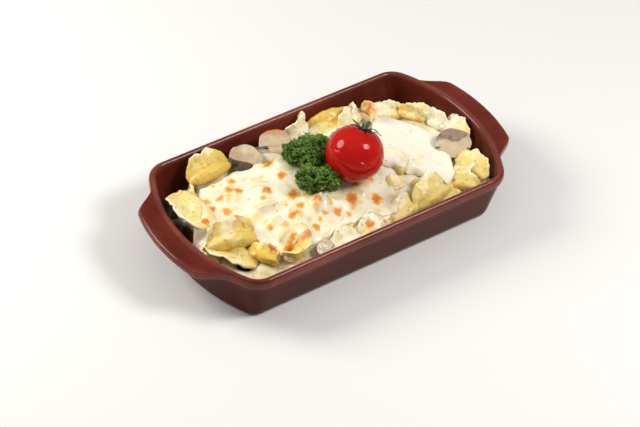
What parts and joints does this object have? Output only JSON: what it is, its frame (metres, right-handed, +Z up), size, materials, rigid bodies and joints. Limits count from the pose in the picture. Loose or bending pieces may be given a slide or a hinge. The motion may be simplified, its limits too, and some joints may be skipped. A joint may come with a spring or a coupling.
{
  "type": "baked tortellini in a dish",
  "caption": "Filled pasta baked under melted browned cheese in an oblong glazed dish with tab handles, topped with a whole tomato, curly parsley and mushrooms.",
  "frame": {"origin": "centre of the dish's footprint, on the surface it stands on", "axes": "+X along the dish towards the tab handle on the tomato's side, +Y across it, +Z up"},
  "size_m": [0.262, 0.129, 0.0809],
  "materials": {
    "glazed_stoneware": "glossy glaze",
    "egg_pasta": "satin, moist",
    "melted_cheese": "satin, browned in spots",
    "tomato_skin": "glossy",
    "calyx_green": "matte",
    "parsley_leaf": "matte",
    "mushroom_flesh": "satin, moist"
  },
  "bodies": {
    "root": {"dish": "glazed_stoneware", "pasta_heap": "egg_pasta", "melted_cheese": "melted_cheese", "cherry_tomato": "tomato_skin", "tomato_calyx": "calyx_green", "parsley_sprig": "parsley_leaf", "mushroom_half": "mushroom_flesh", "mushroom_cap": "mushroom_flesh", "mushroom_slice": "mushroom_flesh", "mushroom_bit": "mushroom_flesh"}
  },
  "joints": []
}
